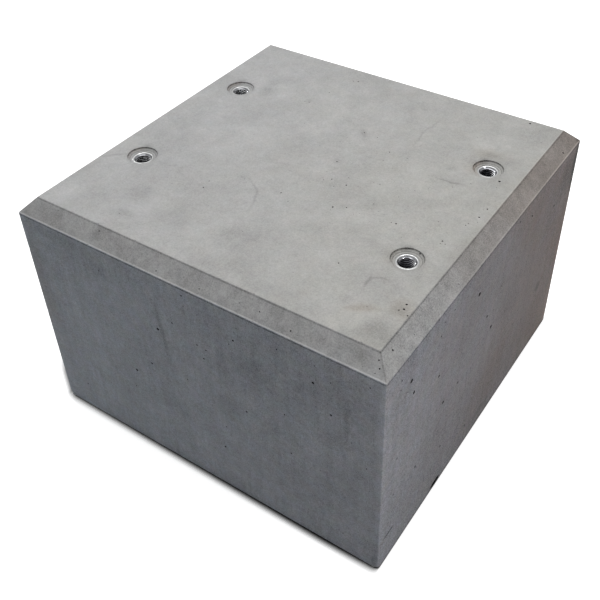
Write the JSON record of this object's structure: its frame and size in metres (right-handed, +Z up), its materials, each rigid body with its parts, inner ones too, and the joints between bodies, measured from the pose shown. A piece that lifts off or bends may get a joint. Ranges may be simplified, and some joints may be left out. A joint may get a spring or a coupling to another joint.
{
  "type": "concrete deck pier block",
  "caption": "Square precast concrete pier block with a chamfered top and threaded steel sockets cast into dished seats, for bolting down a deck post base or frame.",
  "frame": {"origin": "middle of the underside, on the ground", "axes": "+Z up, through the middle of the chamfered top. X runs along the long side of the rectangle of sockets, and -Y is the large upright face on the left of the picture."},
  "size_m": [0.4, 0.4, 0.27],
  "materials": {
    "concrete": "smooth grey concrete, as struck from a steel mould, with small air pores",
    "zinc_plated_steel": "turned and zinc plated",
    "plain_steel": "bright drawn bar, sawn ends"
  },
  "bodies": {
    "root": {"concrete_block": "concrete", "threaded_socket_front_left": "zinc_plated_steel", "threaded_socket_front_right": "zinc_plated_steel", "threaded_socket_back_left": "zinc_plated_steel", "threaded_socket_back_right": "zinc_plated_steel", "cross_pin_front_left": "plain_steel", "cross_pin_front_right": "plain_steel", "cross_pin_back_left": "plain_steel", "cross_pin_back_right": "plain_steel"}
  },
  "joints": []
}
